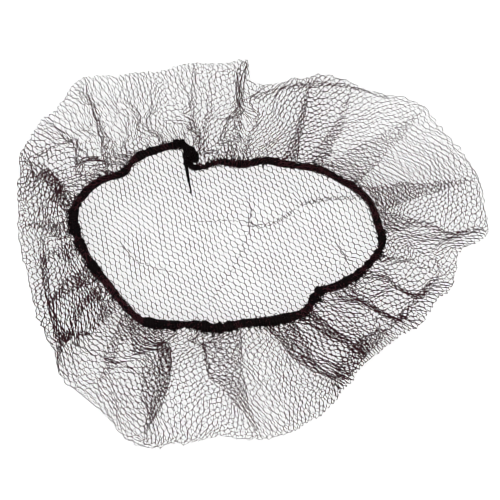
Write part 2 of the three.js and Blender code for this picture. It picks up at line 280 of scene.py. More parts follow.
# How the gathered layer is stretched, by its bearing at the rim in degrees: share of its natural
# length, share of its threads' thickness, and how much it crowds towards the band, from 1.
EASE = [
    Ease(0, 0.99, 0.61, 1.14),
    Ease(15, 1.08, 0.66, 1.16),
    Ease(30, 0.97, 0.45, 1.16),
    Ease(45, 0.97, 0.49, 1.14),
    Ease(60, 1.03, 0.77, 1.04),
    Ease(75, 0.98, 0.57, 1),
    Ease(90, 1.05, 0.59, 1.04),
    Ease(105, 1.07, 0.54, 1.09),
    Ease(120, 1.07, 0.54, 1.09),
    Ease(135, 1.07, 0.52, 1.14),
    Ease(150, 1.16, 0.67, 1.09),
    Ease(165, 1.45, 1.02, 1),
    Ease(180, 1.27, 0.73, 1),
    Ease(195, 1.29, 0.94, 1),
    Ease(210, 1.32, 1.07, 0.95),
    Ease(225, 1.12, 0.67, 1.04),
    Ease(240, 1.12, 0.75, 1.02),
    Ease(255, 1.00, 0.68, 1.02),
    Ease(270, 1.05, 0.60, 1.04),
    Ease(285, 1.00, 0.62, 1.04),
    Ease(300, 1.16, 0.76, 1),
    Ease(315, 1.32, 1.07, 0.95),
    Ease(330, 1.29, 0.93, 1.04),
    Ease(345, 1.12, 0.75, 1.09),
]

# Tucks where the gathered layer folds over itself, seen from above: three points of its line in
# mm, and the half width of the doubled part at either end in mm.
FOLDS = [
    Fold((-86.8, 81.5), (-79.2, 72.5), (-74.8, 61.5), 1.25, 2.25),
    Fold((-75.8, 63.5), (-71.8, 52.5), (-68.2, 42.5), 2.25, 3),
    Fold((-83.8, 79.5), (-75.8, 75.5), (-64.8, 76), 0.9, 0.9),
    Fold((-64.8, 76), (-57.2, 70.5), (-53.8, 54.5), 1.25, 2.75),
    Fold((-29.2, 94.5), (-29.8, 81.5), (-29.8, 68.5), 1.25, 1.75),
    Fold((-29.8, 70.5), (-27.2, 58.5), (-22.2, 47.5), 2, 3.25),
    Fold((-79.8, 65.5), (-95.8, 55.5), (-112.2, 49.5), 1.25, 1.5),
    Fold((-86.2, 58.5), (-87.8, 51.5), (-85.8, 43.5), 1.25, 1.5),
    Fold((-86.8, 45), (-79.8, 46.5), (-74.2, 39.5), 1.5, 1.75),
    Fold((-115.8, 48.5), (-109.2, 44.5), (-100.8, 43.5), 1.25, 1.25),
    Fold((-106.8, 40.5), (-98.8, 35.5), (-92.8, 28.5), 2.5, 3),
    Fold((-2.8, 96.5), (-5.8, 85.5), (-6.8, 67), 3.25, 2.75),
    Fold((-6.2, 68), (-13.2, 67), (-23.8, 68), 0.75, 0.65),
    Fold((-6.2, 68), (-1.2, 75), (9.2, 79), 1, 1),
    Fold((5.2, 77), (16.8, 82), (33.2, 84), 1.5, 1.5),
    Fold((30.2, 84), (50.2, 82.5), (72.2, 75), 1.5, 1.25),
    Fold((92.2, 7.5), (92.8, -1.5), (95.2, -8.5), 1, 1),
    Fold((117.2, 12), (105.2, 10), (94.2, 4.5), 1.5, 1.5),
    Fold((94.2, -9.5), (81.2, -24.5), (67.2, -40.5), 2, 2.25),
    Fold((68.2, -38.5), (56.2, -48.5), (42.2, -62.5), 3.5, 4),
    Fold((47.8, -20), (61.8, -27.5), (77.8, -33.5), 1, 1.25),
    Fold((66.2, -1.5), (69.2, -14), (84.2, -20), 1.25, 1),
    Fold((78.2, 5), (87.2, -2.5), (95.8, -9), 0.9, 1),
    Fold((-45.8, -42.5), (-43.2, -61.5), (-52.2, -88.5), 5, 2),
    Fold((-20.2, -42.5), (-19.8, -53.5), (-17.2, -66.5), 2, 1.25),
    Fold((-88.2, -49.5), (-72.8, -52.5), (-54.8, -62.5), 0.75, 0.75),
    Fold((-103.8, 15.5), (-102.2, -18.5), (-95.8, -39), 1.75, 2),
    Fold((-98.8, -43), (-89.8, -40.5), (-77.8, -40), 2.5, 1.5),
    Fold((-94.8, -44), (-96.8, -53.5), (-95.2, -63.5), 2, 0.75),
]

# Places where the gathered layer is drawn together from all sides.
PINCHES = [
    Pinch((54.0, -43.5), 7, 0.6),
    Pinch((42.5, -62.0), 7, 0.7),
    Pinch((-101.0, 36.0), 9, 0.3),
    Pinch((-83.0, -17.0), 9, 0.25),
    Pinch((-92.5, -42.0), 7, 0.6),
]

# Soft creases of the crown, seen through the opening.
CREASES = [
    Fold((-30.8, 15.5), (-17.2, 16), (-4.2, 16.5), 0.35, 0.4),
    Fold((-4.2, 16.5), (8.2, 14), (23.2, 23.5), 1, 1.5),
    Fold((23.2, 23.5), (35.2, 26.5), (57.2, 28), 1.5, 1.1),
    Fold((-1.8, 28.5), (-3.8, 3.5), (-24.8, -29.5), 0.65, 0.9),
    Fold((42.2, 4), (45.8, 0), (48.2, -4.5), 0.85, 0.85),
    Fold((-65.8, 6.5), (-55.8, -4.5), (-36.8, -9.5), 0.45, 0.45),
]

# Random waves, with their length and height in mm. The crumples shift the gathered layer, each
# to the side by its own seed and lengthwise by the next one.
CRUMPLES = [
    Wave(25, 0.6, 13),
    Wave(9, 0.26, 33),
    Wave(5.5, 0.12, 43),
]
GRAIN_SWAY = Wave(38, 0.3, 11)  # of the net's grain, in the same way
CROWN_RISE = Wave(24, 0.09, 15)  # of the crown, up and down
RIM_RAGGED = Wave(5, 0.35, 16)  # of the net's edge, in and out
WAVE_KINDS = 7
WAVE_STRAY = (0.7, 1.5)  # shortest and longest wave for each part of the given length

FOLD_SAMPLES = 17  # points along a fold's line
FOLD_FADE = 0.14  # share of a fold's length over which it fades out at either end
FOLD_GAIN = 2.05  # 2 lays the net back over itself at its own size
FOLD_REACH = 3.2  # how far a fold draws the net in, for each mm of its half width
FOLD_LEAST_REACH = 2.5
FOLD_SPAN = 3  # how many times that reach a fold still matters
LEAST_FOLD = 0.01  # mm of half width, where a fold fades out
FOLD_LIFT = 0.7  # height of a fold in mm
CREASE_LIFT = 0.22
CREASE_FADE = 6  # mm inside the outline over which the creases fade in
FREE_EDGE = 3  # mm from the gathered edge over which tucks and crumples fade out
LEAST_HEIGHT = 0.22  # of a thread's middle above the table

# The net

LATTICE_REACH = 215.0  # mm from the middle to the last cells that are laid out
WRAP_TURN = math.radians(170)  # how far the net's edge turns over the band
WRAP_RADIUS = 2.0
WRAP_BLEND = 0.35  # radians over which the edge closes in on the band
GRAIN_LEAN = math.radians(-2.5)  # turn of the net's grain at the middle
GRAIN_TURN = 0.00175  # radians by which it turns more for each mm to the right
GRAIN_REACH = 75.0  # mm over which it goes on turning
JITTER = 0.05  # mm by which a junction strays
TOP_JITTER = 0.09  # the same in the gathered layer
BAND_JITTER = 0.2  # and how much more at the band
JITTER_RISE = 0.3  # share of it that goes up and down
SLOPE_STEP = 0.2  # mm on the flat net over which its slope is read
CROWN_MARGIN = 2  # mm by which the crown's own strands reach past the outline
THREAD_EASE = 20  # mm past the opening over which threads take on their share of thickness
TURN_SHARPNESS = 8  # how tightly a pleat or a fold turns back
PLEAT_LIFT = 1.1  # mm between the layers of a pleat
TURNED_PLEAT = 3  # every third pleat is laid the other way
LEAST_SURPLUS = 0.02  # share of the net that a pleat takes up at least
LEAST_CLOSENESS = 0.15  # least room for the net, for each part of its own width
JITTER_SEED = 5
THREAD_SEED = 8
GATHER_KINDS = 9
GATHER_SEED = 21
GATHER_START = 0.3  # share of the small gathers that sets in at the outline
GATHER_COUNTS = (38, 100)  # fewest and most small gathers round the band
GATHER_SLANT = 0.05  # radians by which they stray for each mm towards the band
GATHER_SIDE = 0.5  # mm by which a small gather sways to the side
GATHER_RISE = 0.5  # and up and down
JUNCTION_SWELL = 1.4  # thickness of a junction for each part of a strand's
CORNER_REACH = 1.5  # how far a junction's corners stand out, for a clean mitre
TOP_CORNER_REACH = 3.1  # the same in the gathered layer, whose junctions are drawn tight
JUNCTION_POINTS = 5  # above, below and at three corners
WAIST_POINTS = 4  # round the middle of a strand
TOP_UPRIGHT = 0.78  # thickness of the gathered layer's uprights for each part of the crown's
TOP_SLANT = 1.15  # the same for its slanting threads
UNEVEN = 0.08  # how much the threads' thickness varies
TOP_UNEVEN = 0.16  # the same in the gathered layer

# The elastic

# The band's thin right end, that runs under the knot.
BAND_THIN_END = [
    Place(-14.9, 45.7, 10.2),
    Place(-17.3, 45.2, 10.1),
    Place(-19.8, 44.3, 9.9),
    Place(-22.3, 43.2, 9.7),
    Place(-25.3, 42.4, 9.5),
    Place(-28.3, 42.6, 9.3),
    Place(-30.6, 43.8, 9.2),
    Place(-31.8, 45.6, 9.2),
]
THIN_LENGTH = 24  # mm before its end at which the band starts to thin
THIN_FADE = 10  # mm over which it does
THIN_SHARE = 0.2  # share of its thickness that it loses
RING_SAMPLES = 1400  # points on the ring before it is cut into even steps
END_SAMPLES = 60  # and on its thin end
BAND_STEPS = 1150
BAND_SIDES = 16
BAND_SEED = 31
BAND_FUZZ_SEED = 51
FRINGE_SEED = 52

# Threads wound round the band: mm for each turn, where it begins in radians, and seed.
WINDINGS = [
    Winding(3.4, 0, 40),
    Winding(-4.3, 1.3, 41),
    Winding(5.6, 3.1, 42),
]
WINDING_STEP = 0.45  # mm between points of such a thread
WINDING_SIDES = 5
WINDING_CLEARANCE = 0.1
WINDING_SWAY = 0.9  # radians by which it wanders round the band
WINDING_SWAYS = 90  # places between which it does
WINDING_STRAY = 0.25  # mm by which it stands off
WINDING_STRAYS = 200  # and places between which that changes

# The cover of a cord. Sizes are for each part of its radius, lengths in mm.
DRIFT = 1.2  # radians by which the ridges wander round the cord
DRIFTS = 60  # places between which they do
RIDGE_LENGTH = 1.5
RIDGE_SIZE = 0.09
RIDGE_TURNS = 2  # ridges round the cord
CROSS_LENGTH = 2.3  # of the ridges that cross them
CROSS_SIZE = 0.05
CROSS_TURNS = 3
LUMP_LENGTH = 2.0  # from lump to lump
LUMP_SIZE = 0.2
GRIT_SIZE = 0.06
TIP_REACH = 0.4  # how far the middle of its end stands out

# Loose loops: half widths and heights in mm, lean and spread in radians, steps between bunches,
# and thickness for each part of a wound thread's.
FUZZ = Loops(0.35, 0.8, 0.5, 1.7, 0.9, math.pi, 6, 0.85)
FRINGE = Loops(0.35, 0.8, 1.1, 2.8, 0.5, 0.8, 8, 0.9)
CORD_FUZZ = FUZZ._replace(share=0.7)
LOOP_STEPS = np.linspace(0, math.pi, 6)  # angles of its points
LOOP_SIDES = 3
LOOP_FOOT = 0.15  # mm by which a loop's ends are sunk into the cover
LEAST_LOOP = 0.25  # mm of height
LOOP_CRUMPLE = 0.08  # mm by which its points stray
BUNCH_TIGHTNESS = 5  # how much closer together the loops of a bunch are than the bunches

# Middle lines of the knot: the left end as it curls over the right one, a turn of it, its tip.
KNOT_CURL = [
    Cord(-38.6, 54.1, 10.8, 1.9),
    Cord(-36.6, 54.5, 11.2, 2.0),
    Cord(-34.4, 53.9, 11.8, 2.2),
    Cord(-32.4, 52.0, 12.2, 2.3),
    Cord(-30.4, 49.6, 12.1, 2.5),
    Cord(-28.5, 47.2, 11.6, 2.4),
    Cord(-27.2, 45.9, 11.2, 1.7),
]
KNOT_LOOP = [
    Cord(-32.9, 52.4, 13.0, 0.9),
    Cord(-30.2, 52.0, 13.4, 1.0),
    Cord(-28.6, 50.0, 13.0, 1.0),
    Cord(-28.7, 47.8, 11.6, 1.0),
    Cord(-30.6, 46.6, 10.2, 1.0),
    Cord(-32.4, 48.0, 10.6, 1.0),
    Cord(-32.9, 50.6, 12.0, 0.9),
]
KNOT_TIP = [
    Cord(-34.2, 53.2, 12.4, 0.9),
    Cord(-34.4, 54.9, 12.9, 0.9),
    Cord(-34.5, 56.0, 12.8, 0.6),
]
KNOT_PARTS = [
    CordPart(KNOT_CURL, 100, 260, 60),
    CordPart(KNOT_LOOP, 90, 120, 61),
    CordPart(KNOT_TIP, 24, 20, 62),
]

# Middle line of the free end, from the knot down into the opening.
TAIL_LINE = [
    Cord(-33.2, 48.4, 10.6, 0.9),
    Cord(-32.9, 46.4, 10.0, 0.85),
    Cord(-32.4, 43.4, 8.6, 0.8),
    Cord(-32.0, 40.4, 7.0, 0.66),
    Cord(-31.5, 37.2, 5.3, 0.52),
    Cord(-30.8, 33.8, 3.6, 0.4),
    Cord(-30.3, 31.4, 2.6, 0.32),
    Cord(-30.1, 29.8, 1.9, 0.22),
]
TAIL = CordPart(TAIL_LINE, 110, 24, 81)
TAIL_THREAD = 0.6  # thickness of its loops for each part of the knot's
CORD_SIDES = 14
CORD_UP = (0.1, 0.2, 1)  # a direction that none of these cords runs in
CORD_FUZZ_SEED = 20  # added to a cord's seed for its loops

# Finishes and the stage, in metres

MIX_FIRST = 6  # sockets of a mix node for colours
MIX_SECOND = 7
MIX_RESULT = 2
PATCHES = 180.0  # redder patches of the thread, for each metre
FLECKS = 2400.0  # and smaller ones
PATCH_SHARE = 0.6
FLECK_SHARE = 0.4
WARM_FROM = 0.35  # noise at which the redder colour sets in
WARM_TO = 0.68
FLECK_ROUGHNESS = 0.2
THREAD_SHINE = 0.05
TWIST_DEPTH = 0.00004
TWIST_STRENGTH = 0.5
NET_ROUGHNESS = 0.5
NET_TWIST = 9000.0  # bumps of the thread's twist, for each metre
ELASTIC_ROUGHNESS = 0.65
ELASTIC_TWIST = 3000.0
TABLE_CLOUD = 3.0
TABLE_LIGHTER = 1.03
TABLE_ROUGHNESS = 0.9
LAMPS = [
    Lamp("lamp_left", (-1.0, 0.9, 1.6)),
    Lamp("lamp_right", (1.1, -0.7, 1.7)),
]
LAMP_SIZE = 1.4
PIXEL_FILTER = 0.9  # in pixels
CAMERA_PLACE = (-0.00075, 0.0015)
SENSOR_WIDTH = 36  # in millimetres


def ring_value(rows, bearing):
    """Values at bearings in radians, on a smooth closed curve through (degrees, value) rows."""
    turns = (-1, 0, 1)
    places = np.array([degrees + 360 * turn for turn in turns for degrees, _ in rows])
    values = np.array([value for _ in turns for _, value in rows])
    degrees = np.degrees(bearing) % 360
    after = np.searchsorted(places, degrees, side="right")
    x0, x1, x2, x3 = (places[after + step] for step in (-2, -1, 0, 1))
    y0, y1, y2, y3 = (values[after + step] for step in (-2, -1, 0, 1))
    span = x2 - x1
    slope1 = (y2 - y0) / (x2 - x0) * span
    slope2 = (y3 - y1) / (x3 - x1) * span
    t = (degrees - x1) / span
    return (
        (2 * t**3 - 3 * t**2 + 1) * y1
        + (t**3 - 2 * t**2 + t) * slope1
        + (3 * t**2 - 2 * t**3) * y2
        + (t**3 - t**2) * slope2
    )


def outline_reach(bearing):
    return ring_value(OUTLINE, bearing) - WALL / 2


def band_reach(bearing):
    return ring_value(BAND, bearing)


def band_bearing(bearing):
    """Bearing at the band of the net that has this bearing at the rim."""
    turns = (-360, 0, 360)
    rim = [row.rim + turn for turn in turns for row in PLEATS]
    band = [row.band + turn for turn in turns for row in PLEATS]
    return np.radians(np.interp(np.degrees(bearing) % 360, rim, band))


def eased(column, bearing):
    """One column of the ease table at any bearing."""
    return ring_value([(row.bearing, getattr(row, column)) for row in EASE], bearing)


def rim_radius(bearing):
    return RIM_RADIUS + RIM_SWAY * np.sin(3 * bearing + RIM_PHASE)


def band_height(bearing):
    return BAND_HEIGHT + BAND_SWAY * np.sin(2 * bearing + BAND_PHASE)


def turn_between(start, end):
    """Smallest turn from one bearing to another."""
    return (end - start + math.pi) % FULL_TURN - math.pi


def bump(distance, width):
    return np.exp(-((distance / width) ** 2))


def smoothstep(value):
    t = np.clip(value, 0, 1)
    return t * t * (3 - 2 * t)


def soft_clip(value):
    """Close to the value between -1 and 1, and level beyond."""
    return value / (1 + np.abs(value) ** TURN_SHARPNESS) ** (1 / TURN_SHARPNESS)


def unit(vectors):
    lengths = np.linalg.norm(vectors, axis=-1, keepdims=True)
    return vectors / np.maximum(lengths, 1e-9)


def rim_end(bearing):
    """Distance on the flat net at which the turn round the outline ends."""
    radius = rim_radius(bearing)
    depth = RIM_DEPTH * radius
    return outline_reach(bearing) - depth + 2 * np.hypot(depth, RIM_FLATNESS * radius)


def hem_reach(bearing):
    """Reach of the net's edge, which keeps the same distance from the band all round."""
    reach = band_reach(bearing)
    rise = band_reach(bearing + BEARING_STEP) - band_reach(bearing - BEARING_STEP)
    slope = rise / (2 * BEARING_STEP)
    slant = np.hypot(1, slope / reach)
    relief = KNOT_RELIEF * bump(turn_between(KNOT_BEARING, bearing), KNOT_RELIEF_WIDTH)
    return reach + (BAND_RADIUS + NET_CLEARANCE) * slant + relief


def top_length(bearing):
    """Length of the gathered layer from rim to band, evened out over the bearings near by."""
    spans = []
    for degrees in range(-SLACK_REACH, SLACK_REACH + 1, SLACK_STEP):
        near = bearing + math.radians(degrees)
        spans.append(outline_reach(near) - rim_radius(near) - hem_reach(band_bearing(near)))
    return TOP_SLACK * eased("length", bearing) * np.mean(spans, axis=0)


def pleat_rise(bearing, reach, along):
    """Height that the pleats add, at a share of the way from the rim to the band."""
    from_band = (1 - along) / PLEAT_PEAK
    rises = sum(
        pleat.rise * bump(turn_between(math.radians(pleat.rim), bearing) * reach, pleat.width)
        for pleat in PLEATS
    )
    return from_band * np.exp(1 - from_band) * rises


def waves(points, wave):
    """Smooth random heights at points of the plane."""
    chance = np.random.default_rng(wave.seed)
    total = np.zeros(len(points))
    for _ in range(WAVE_KINDS):
        heading = chance.uniform(0, FULL_TURN)
        length = wave.length * chance.uniform(*WAVE_STRAY)
        along = points @ np.array([math.cos(heading), math.sin(heading)])
        total += np.sin(FULL_TURN * along / length + chance.uniform(0, FULL_TURN))
    return wave.height * math.sqrt(2 / WAVE_KINDS) * total


def plane_waves(points, wave):
    """Smooth random shifts in the plane."""
    lengthwise = wave._replace(seed=wave.seed + 1)
    return np.stack([waves(points, wave), waves(points, lengthwise)], axis=1)


def gathers(bearing, distance):
    """Sideways and upward shares of many small gathers that run towards the band."""
    chance = np.random.default_rng(GATHER_SEED)
    side = np.zeros(len(bearing))
    rise = np.zeros(len(bearing))
    for _ in range(GATHER_KINDS):
        count = chance.integers(*GATHER_COUNTS)
        phase = count * bearing + distance * chance.normal(0, GATHER_SLANT)
        phase += chance.uniform(0, FULL_TURN)
        side += np.sin(phase)
        rise += np.cos(phase)
    return side / math.sqrt(GATHER_KINDS / 2), rise / math.sqrt(GATHER_KINDS / 2)


def near_line(points, fold):
    """For each point: share along a fold's line, distance to its left, and its left direction."""
    start, middle, end = (np.array(place, dtype=float) for place in fold[:3])
    shares = np.linspace(0, 1, FOLD_SAMPLES)
    control = 2 * middle - (start + end) / 2

    def curve(t):
        t = t[:, None]
        return (1 - t) ** 2 * start + 2 * t * (1 - t) * control + t**2 * end

    def slope(t):
        t = t[:, None]
        return 2 * (1 - t) * (control - start) + 2 * t * (end - control)

    samples = curve(shares)
    gaps = np.linalg.norm(points[:, None] - samples[None], axis=2)
    share = shares[gaps.argmin(axis=1)]
    for _ in range(2):
        along = slope(share)
        step = ((points - curve(share)) * along).sum(axis=1) / (along**2).sum(axis=1)
        share = np.clip(share + step, 0, 1)
    along = unit(slope(share))
    left = np.stack([-along[:, 1], along[:, 0]], axis=1)
    return share, ((points - curve(share)) * left).sum(axis=1), left


def folded(points, folds, weight, height):
    """Shift of points by tucks and creases, as seen from above, and the height that they add."""
    shift = np.zeros_like(points)
    lift = np.zeros(len(points))
    for fold in folds:
        widest = max(fold.first_width, fold.last_width)
        far = FOLD_SPAN * (FOLD_REACH * widest + FOLD_LEAST_REACH)
        ends = np.array([fold.start, fold.middle, fold.end])
        low, high = ends.min(axis=0) - far, ends.max(axis=0) + far
        near = np.flatnonzero(((points > low) & (points < high)).all(axis=1) & (weight > 0))
        if not len(near):
            continue
        share, distance, left = near_line(points[near], fold)
        fade = smoothstep(share / FOLD_FADE) * smoothstep((1 - share) / FOLD_FADE) * weight[near]
        width = fold.first_width + share * (fold.last_width - fold.first_width)
        width = np.maximum(width * fade, LEAST_FOLD)
        closing = np.exp(-((distance / (FOLD_REACH * width + FOLD_LEAST_REACH)) ** 2) / 2)
        turned_back = soft_clip(distance / width) * closing
        shift[near] -= (FOLD_GAIN * width * turned_back)[:, None] * left
        lift[near] -= height * turned_back * fade
    return shift, lift


def pinched(points, weight):
    """Shift of points towards the places where the net is drawn together."""
    shift = np.zeros_like(points)
    for pinch in PINCHES:
        offset = points - np.array(pinch.centre)
        near = np.exp(-(offset**2).sum(axis=1) / (2 * pinch.radius**2))
        shift -= offset * (pinch.gain * near * weight)[:, None]
    return shift


def grain(flat):
    """Turns and sways the lattice, so that its grain runs as the knitted net's does."""
    soft = GRAIN_REACH * np.tanh(flat / GRAIN_REACH)
    x, y = soft.T
    turned = flat + GRAIN_TURN * np.stack([-x * y, x * x / 2], axis=1)
    lean = np.array(
        [
            [math.cos(GRAIN_LEAN), -math.sin(GRAIN_LEAN)],
            [math.sin(GRAIN_LEAN), math.cos(GRAIN_LEAN)],
        ]
    )
    return turned @ lean.T + plane_waves(flat, GRAIN_SWAY)


def pleated(bearing, distance, closeness):
    """Sideways shift and height of the pleats that take up the surplus net.

    Closeness is the room there is for each millimetre of net. Each pleat lays part of the net
    back over its neighbour, so that all of it keeps its own size.
    """
    turns = (-1, 0, 1)
    places = np.array([row.rim + 360 * turn for turn in turns for row in PLEATS])
    number = np.interp(np.degrees(bearing) % 360, places, np.arange(len(places)))
    nearest = np.round(number).astype(int)
    phase = number - nearest
    low = np.floor(number).astype(int)
    spacing = distance * np.radians(places[low + 1] - places[low])
    surplus = 1 - closeness
    turned_back = soft_clip(4 * phase / np.maximum(surplus, LEAST_SURPLUS))
    way = np.where(nearest % TURNED_PLEAT == 0, -1, 1)
    side = spacing * surplus * (phase - turned_back / 2)
    rise = way * -PLEAT_LIFT * turned_back * (1 - 2 * np.abs(phase))
    return side, rise


def pleat_ratio(bearing):
    """Share of its bearings that the net between two pleats still takes up at the band."""
    rim = np.array([row.rim for row in PLEATS])
    band = np.array([row.band for row in PLEATS])
    ratios = np.diff(band, append=band[0] + 360) / np.diff(rim, append=rim[0] + 360)
    return ratios[np.searchsorted(rim, np.degrees(bearing) % 360, side="right") - 1]


def base_heading(bearing, along):
    """Where the net of one bearing at the rim lies, at a share of the way to the band."""
    return bearing + along * turn_between(bearing, band_bearing(bearing))


def rim_reach(flat, distance, crown, depth, turn):
    """Reach of the net up to the end of its turn round the outline."""
    edge_share = 1 - np.abs(2 * turn - 1) ** RIM_POINT
    reach = np.where(distance < crown, distance, crown + depth * edge_share)
    return reach + waves(flat, RIM_RAGGED) * bump(distance - crown - RIM_RAG, RIM_RAG_REACH)


def gathered_heading(bearing, distance, along, over, start):
    """Bearing to which pleats and gathers move the net, and the height that they add."""
    heading = base_heading(bearing, along)
    plain = start + along * (hem_reach(heading) - start)
    spread = 1 + along * (pleat_ratio(bearing) - 1)
    closeness = np.clip(plain * spread / np.maximum(distance, 1), LEAST_CLOSENESS, 1)
    side, pleat = pleated(bearing, distance, 1 - over * (1 - closeness))
    sway, rise = gathers(bearing, distance)
    gathering = along * (GATHER_START + (1 - GATHER_START) * along)
    side += GATHER_SIDE * sway * gathering
    return heading + side / np.maximum(plain, 1), GATHER_RISE * rise * gathering + pleat * over


def tucked(flat, plan, height, free, on_crown):
    """Crumples and tucks the gathered layer and creases the crown, by the weight of each."""
    for crumple in CRUMPLES:
        plan += plane_waves(flat, crumple) * free[:, None]
    shift, lift = folded(plan, FOLDS, free, FOLD_LIFT)
    plan += pinched(plan, free) + shift
    height += lift
    shift, lift = folded(plan, CREASES, on_crown, CREASE_LIFT)
    height += lift + on_crown * waves(flat, CROWN_RISE)
    return np.column_stack([plan + shift, np.maximum(height, LEAST_HEIGHT)])


def bag_places(flat):
    """Places in the bag of points of the net laid flat round the crown's middle."""
    distance = np.hypot(*flat.T)
    bearing = np.arctan2(flat[:, 1], flat[:, 0])
    radius = rim_radius(bearing)
    depth = RIM_DEPTH * radius
    crown = outline_reach(bearing) - depth
    turned = rim_end(bearing)
    length = top_length(bearing)
    turn = np.clip((distance - crown) / (turned - crown), 0, 1)
    along = np.clip((distance - turned) / length, 0, 1)
    wrap = np.maximum(distance - turned - length, 0) / WRAP_RADIUS
    over = smoothstep(turn * OVER_STEEPNESS - OVER_DELAY)

    start = rim_reach(flat, distance, crown, depth, turn)
    heading, gathered_height = gathered_heading(bearing, distance, along, over, start)
    band = band_reach(heading)
    hem = hem_reach(heading)
    closing = WRAP_RADIUS + (hem - band - WRAP_RADIUS) * np.exp(-wrap / WRAP_BLEND)
    edge = np.where(wrap > 0, band + closing * np.cos(wrap), hem)
    crowded = 1 - (1 - along) ** eased("crowding", bearing)
    reach = start + crowded * (edge - start)
    plan = np.stack([reach * np.cos(heading), reach * np.sin(heading)], axis=1) + CENTRE

    rim_height = 2 * RIM_FLATNESS * radius
    top = WALL / 2 + rim_height
    height = WALL / 2 + rim_height * smoothstep(turn)
    height += (band_height(heading) - top) * smoothstep(along)
    height += PUFF * np.sin(math.pi * along) + pleat_rise(bearing, reach, along)
    height += closing * np.sin(wrap) * (wrap > 0) + gathered_height * (wrap == 0)

    free = over * smoothstep((turned + length - distance) / FREE_EDGE)
    on_crown = (distance < crown) * smoothstep((crown - distance) / CREASE_FADE)
    return tucked(flat, plan, height, free, on_crown)


class Strands:
    """The net's junctions and the strands between them, laid out flat.

    Each junction has an upright strand in slot 0 and slanting ones in slots 1 and 2,
    anticlockwise, and a strand has the same slot at both of its ends.
    """

    def __init__(self, sizes):
        width = sizes.cell_width / MM
        row_height = sizes.cell_row / MM
        rows = int(LATTICE_REACH / row_height)
        columns = int(LATTICE_REACH / width)
        row, column = np.mgrid[-rows : rows + 1, -columns : columns + 1]
        half_row = row % 2
        bearing = sizes.upright_bearing
        up = np.array([math.cos(bearing), math.sin(bearing)])
        across = np.array([up[1], -up[0]])
        sideways = (column + half_row / 2) * width
        feet = row * row_height - sizes.upright_share * row_height / 2
        heads = row * row_height + sizes.upright_share * row_height / 2
        places = [
            sideways[..., None] * across + level[..., None] * up for level in (feet, heads)
        ]
        self.flat = grain(np.concatenate([place.reshape(-1, 2) for place in places]))
        numbers = np.arange(row.size).reshape(row.shape)
        self.ends, self.slots = self.joined(numbers, half_row, row.size)
        self.cut_to_bag()

    @staticmethod
    def joined(numbers, half_row, count):
        """Junction numbers at the two ends of every strand, and the strand's slot."""
        feet = numbers
        heads = numbers + count
        left = np.where(half_row == 0, -1, 0)
        rows, columns = np.indices(numbers.shape)
        ends = [np.stack([feet, heads], axis=-1).reshape(-1, 2)]
        slots = [np.zeros(len(ends[0]), dtype=int)]
        for slot, step in ((1, left), (2, left + 1)):
            below = rows - 1
            beside = columns + step
            inside = (below >= 0) & (beside >= 0) & (beside < numbers.shape[1])
            pair = np.stack([feet[inside], heads[below[inside], beside[inside]]], axis=-1)
            ends.append(pair)
            slots.append(np.full(len(pair), slot))
        return np.concatenate(ends), np.concatenate(slots)

    def cut_to_bag(self):
        """Keeps what lies within the gathered edge and its turn over the band."""
        bearing = np.arctan2(self.flat[:, 1], self.flat[:, 0])
        edge = rim_end(bearing) + top_length(bearing) + WRAP_TURN * WRAP_RADIUS
        kept = np.hypot(*self.flat.T) < edge
        whole = kept[self.ends].all(axis=1)
        self.ends = self.ends[whole]
        self.slots = self.slots[whole]
        used, ends = np.unique(self.ends, return_inverse=True)
        self.ends = ends.reshape(-1, 2)
        self.flat = self.flat[used]
        bearing = np.arctan2(self.flat[:, 1], self.flat[:, 0])
        self.on_crown = np.hypot(*self.flat.T) < outline_reach(bearing) + CROWN_MARGIN

    def thread_shares(self):
        """Share of its full thickness that each strand has left where the net is stretched."""
        middle = self.flat[self.ends].mean(axis=1)
        bearing = np.arctan2(middle[:, 1], middle[:, 0])
        past_band = smoothstep((np.hypot(*middle.T) - band_reach(bearing)) / THREAD_EASE)
        return 1 + past_band * (eased("thread", bearing) - 1)

    def bend(self):
        """Lays the net into the bag, and finds which way its outer side faces."""
        chance = np.random.default_rng(JITTER_SEED)
        flat = self.flat
        steps = SLOPE_STEP * np.eye(2)
        slopes = [bag_places(flat + step) - bag_places(flat - step) for step in steps]
        self.up = unit(np.cross(*slopes))
        bearing = np.arctan2(flat[:, 1], flat[:, 0])
        near_band = np.clip((np.hypot(*flat.T) - rim_end(bearing)) / top_length(bearing), 0, 1)
        jitter = np.where(self.on_crown, JITTER, TOP_JITTER + BAND_JITTER * near_band**3)
        stray = jitter[:, None] * [1, 1, JITTER_RISE]
        self.places = bag_places(flat) + chance.normal(0, 1, (len(flat), 3)) * stray


def junction_sides(place, up, ends, slots, width):
    """Left direction and half width at each slot of the junctions, and which slots are bare."""
    bare = np.full((len(place), 3), True)
    across = np.zeros((len(place), 3, 3))
    breadth = np.full((len(place), 3), width.mean() / 2)
    for here, there in (ends.T, ends.T[::-1]):
        bare[here, slots] = False
        across[here, slots] = unit(np.cross(up[here], place[there] - place[here]))
        breadth[here, slots] = width / 2
    spare = -(np.roll(across, 1, axis=1) + np.roll(across, -1, axis=1))
    across[bare] = unit(spare)[bare]
    return across, breadth, bare


def strand_waists(place, up, ends, width):
    """Points round the middle of each strand."""
    first, last = place[ends[:, 0]], place[ends[:, 1]]
    middle = (first + last) / 2
    middle_up = unit(up[ends[:, 0]] + up[ends[:, 1]])
    left = unit(np.cross(middle_up, last - first)) * width[:, None] / 2
    thick = middle_up * width[:, None] / 2
    return np.stack([middle + left, middle + thick, middle - left, middle - thick], axis=1)


def slot_corners(first_point, slot):
    """Points of a junction round one of its slots."""
    left, right = first_point + 2 + slot, first_point + 2 + (slot + 2) % 3
    return np.stack([left, first_point, right, first_point + 1], axis=1)


